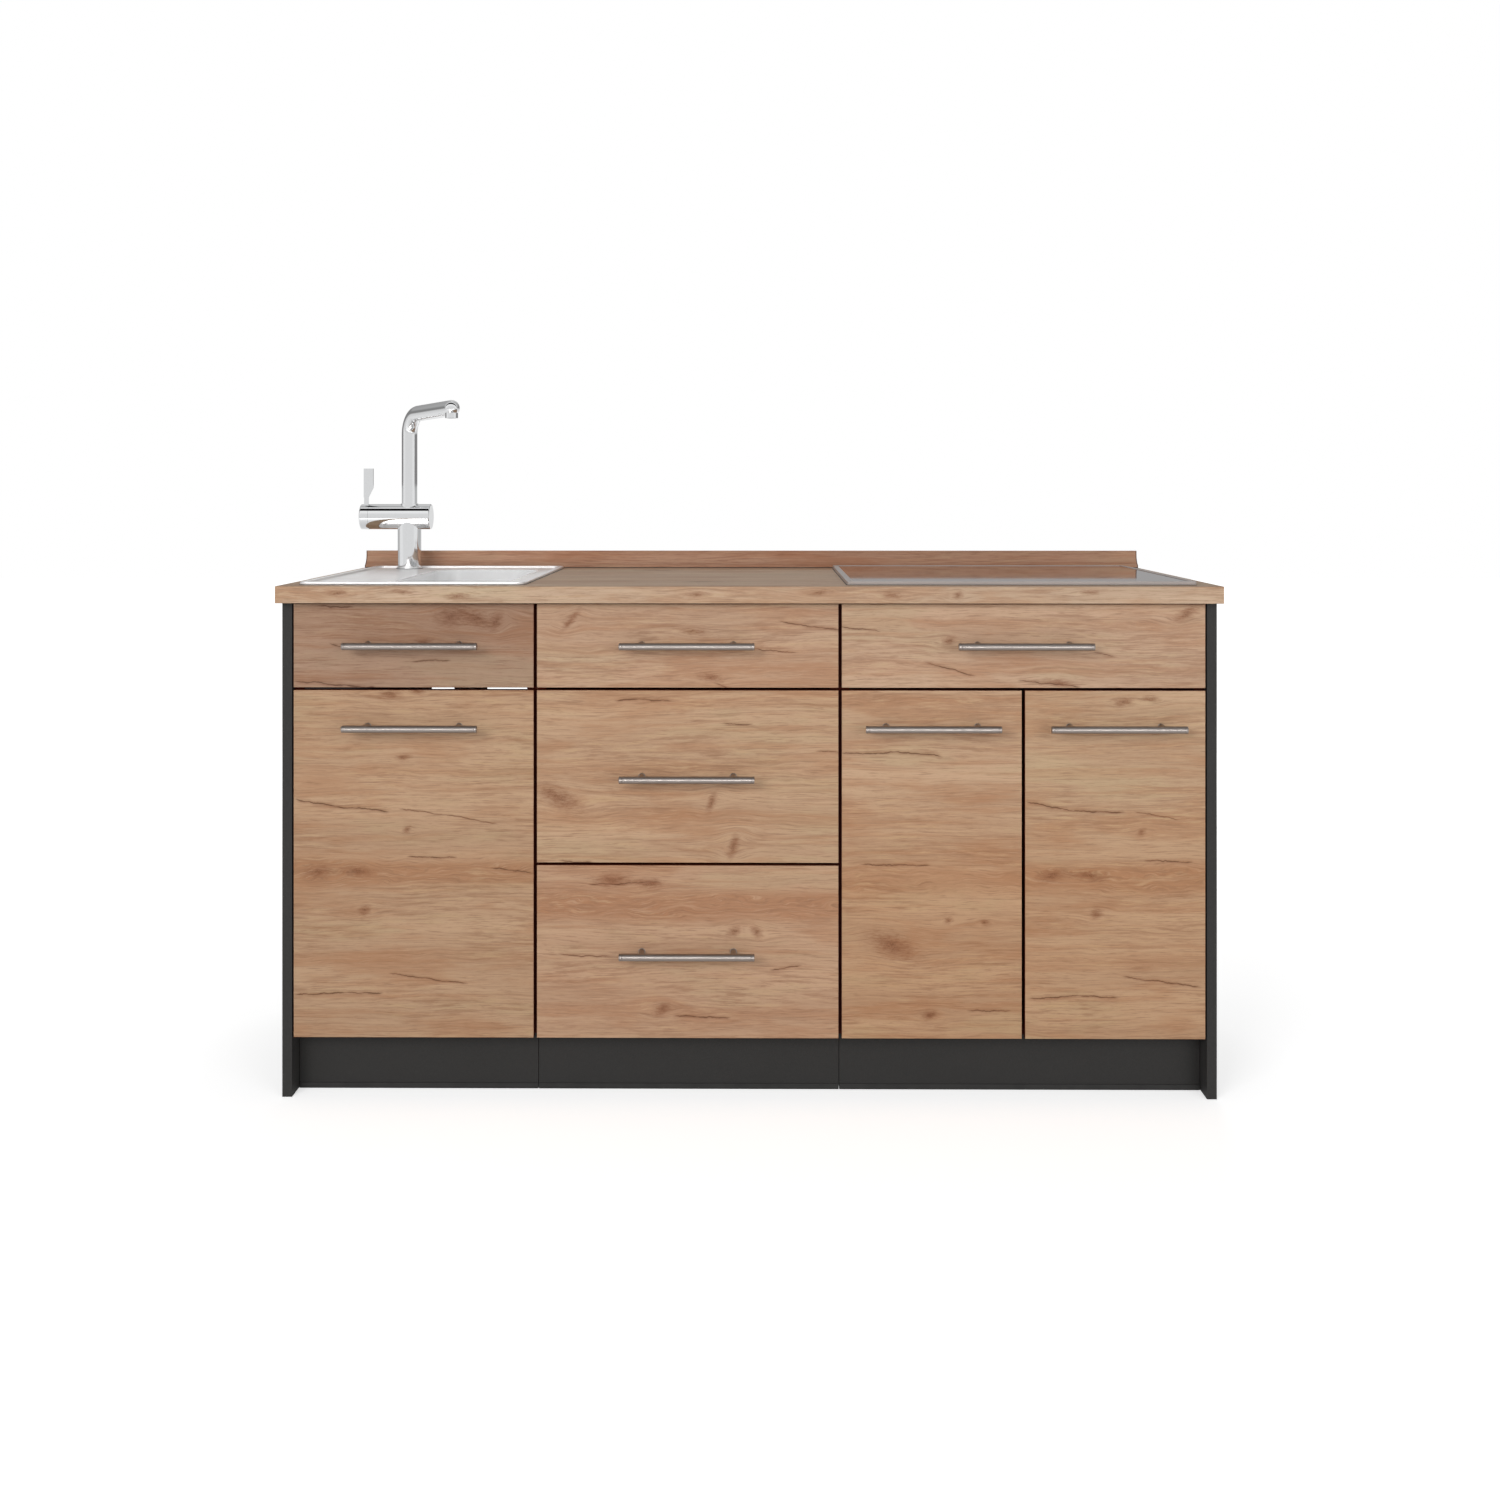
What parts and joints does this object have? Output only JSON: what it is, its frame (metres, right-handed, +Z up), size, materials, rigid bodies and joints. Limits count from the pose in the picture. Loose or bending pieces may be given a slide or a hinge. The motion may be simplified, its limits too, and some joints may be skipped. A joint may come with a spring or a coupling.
{
  "type": "kitchenette unit with sink and hob",
  "caption": "Fitted kitchenette run: base cabinets with oak fronts and bar handles, dark plinth and end panels, one worktop with inset sink, mixer tap and glass hob.",
  "frame": {"origin": "on the floor, under the middle of the whole unit", "axes": "+X to the right, +Y from the fronts to the wall, +Z up"},
  "size_m": [1.544, 0.618, 1.1645],
  "materials": {
    "oak_laminate": "matt laminate, oak decor with level grain",
    "anthracite_board": "matt melamine, anthracite",
    "back_board": "lacquered hardboard",
    "black_plastic": "moulded",
    "plinth_lip": "soft lip",
    "handle_steel": "brushed",
    "drawer_steel": "grey powder coat",
    "drawer_board": "grey melamine",
    "hinge_steel": "nickel plated",
    "sink_steel": "polished stainless",
    "waste_steel": "stainless",
    "trap_plastic": "white moulded",
    "tap_chrome": "bright chrome",
    "tap_brass": "turned",
    "hob_glass": "black glass ceramic",
    "hob_frame_metal": "satin stainless",
    "hob_case_metal": "galvanised",
    "hob_zone": "mica and heater pan"
  },
  "bodies": {
    "root": {"worktop": "oak_laminate", "upstand": "oak_laminate", "upstand_end_caps": "oak_laminate", "sink_front": "oak_laminate", "end_panel_left": "anthracite_board", "end_panel_right": "anthracite_board", "plinth_left": "anthracite_board", "plinth_middle": "anthracite_board", "plinth_right": "anthracite_board", "unit_sides": "anthracite_board", "unit_floors": "anthracite_board", "top_rails": "anthracite_board", "hob_unit_shelf": "anthracite_board", "back_panels": "back_board", "levelling_feet": "black_plastic", "plinth_seal": "plinth_lip", "handle_sink_front": "handle_steel", "cabinet_runners": "drawer_steel", "hinge_arms": "hinge_steel", "small_fixings": "hinge_steel", "sink_deck": "sink_steel", "sink_bowl": "sink_steel", "sink_waste": "waste_steel", "sink_trap": "trap_plastic", "tap_body": "tap_chrome", "tap_fixing": "tap_brass", "hob_glass": "hob_glass", "hob_frame": "hob_frame_metal", "hob_case": "hob_case_metal", "hob_heating_zones": "hob_zone"},
    "sink_door": {"sink_door": "oak_laminate", "handle_sink_door": "handle_steel", "sink_door_hinge_cups": "hinge_steel"},
    "hob_door_left": {"hob_door_left": "oak_laminate", "handle_hob_door_left": "handle_steel", "hob_door_left_hinge_cups": "hinge_steel"},
    "hob_door_right": {"hob_door_right": "oak_laminate", "handle_hob_door_right": "handle_steel", "hob_door_right_hinge_cups": "hinge_steel"},
    "top_drawer": {"top_drawer_front": "oak_laminate", "handle_top_drawer": "handle_steel", "top_drawer_sides": "drawer_steel", "top_drawer_boards": "drawer_board"},
    "middle_drawer": {"middle_drawer_front": "oak_laminate", "handle_middle_drawer": "handle_steel", "middle_drawer_sides": "drawer_steel", "middle_drawer_boards": "drawer_board"},
    "bottom_drawer": {"bottom_drawer_front": "oak_laminate", "handle_bottom_drawer": "handle_steel", "bottom_drawer_sides": "drawer_steel", "bottom_drawer_boards": "drawer_board"},
    "hob_drawer": {"hob_drawer_front": "oak_laminate", "handle_hob_drawer": "handle_steel", "hob_drawer_sides": "drawer_steel", "hob_drawer_boards": "drawer_board"},
    "spout": {"tap_spout": "tap_chrome", "tap_aerator": "tap_chrome"},
    "lever_cap": {"tap_cap": "tap_chrome"},
    "lever": {"tap_lever": "tap_chrome"},
    "basket": {"sink_basket": "sink_steel"}
  },
  "joints": [
    {"name": "sink_door_hinge", "type": "hinge", "parent": "root", "child": "sink_door", "pos_m": [-0.7475, -0.271, 0.4], "axis": [0, 0, -1], "range_deg": [0, 100]},
    {"name": "hob_door_left_hinge", "type": "hinge", "parent": "root", "child": "hob_door_left", "pos_m": [0.1525, -0.271, 0.4], "axis": [0, 0, -1], "range_deg": [0, 90]},
    {"name": "hob_door_right_hinge", "type": "hinge", "parent": "root", "child": "hob_door_right", "pos_m": [0.7475, -0.271, 0.4], "axis": [0, 0, 1], "range_deg": [0, 100]},
    {"name": "top_drawer_slide", "type": "slide", "parent": "root", "child": "top_drawer", "axis": [0, -1, 0], "range_m": [0, 0.345]},
    {"name": "middle_drawer_slide", "type": "slide", "parent": "root", "child": "middle_drawer", "axis": [0, -1, 0], "range_m": [0, 0.345]},
    {"name": "bottom_drawer_slide", "type": "slide", "parent": "root", "child": "bottom_drawer", "axis": [0, -1, 0], "range_m": [0, 0.345]},
    {"name": "hob_drawer_slide", "type": "slide", "parent": "root", "child": "hob_drawer", "axis": [0, -1, 0], "range_m": [0, 0.345]},
    {"name": "spout_swivel", "type": "hinge", "parent": "root", "child": "spout", "pos_m": [-0.669, 0.229, 1], "axis": [0, 0, 1], "range_deg": [-70, 150]},
    {"name": "temperature_turn", "type": "hinge", "parent": "root", "child": "lever_cap", "pos_m": [-0.763, 0.229, 0.943], "axis": [1, 0, 0], "range_deg": [-45, 45]},
    {"name": "flow_tilt", "type": "hinge", "parent": "lever_cap", "child": "lever", "pos_m": [-0.7535, 0.229, 0.957], "axis": [0, -1, 0], "range_deg": [0, 20]},
    {"name": "basket_lift", "type": "slide", "parent": "root", "child": "basket", "axis": [0, 0, 1], "range_m": [0, 0.06]}
  ]
}
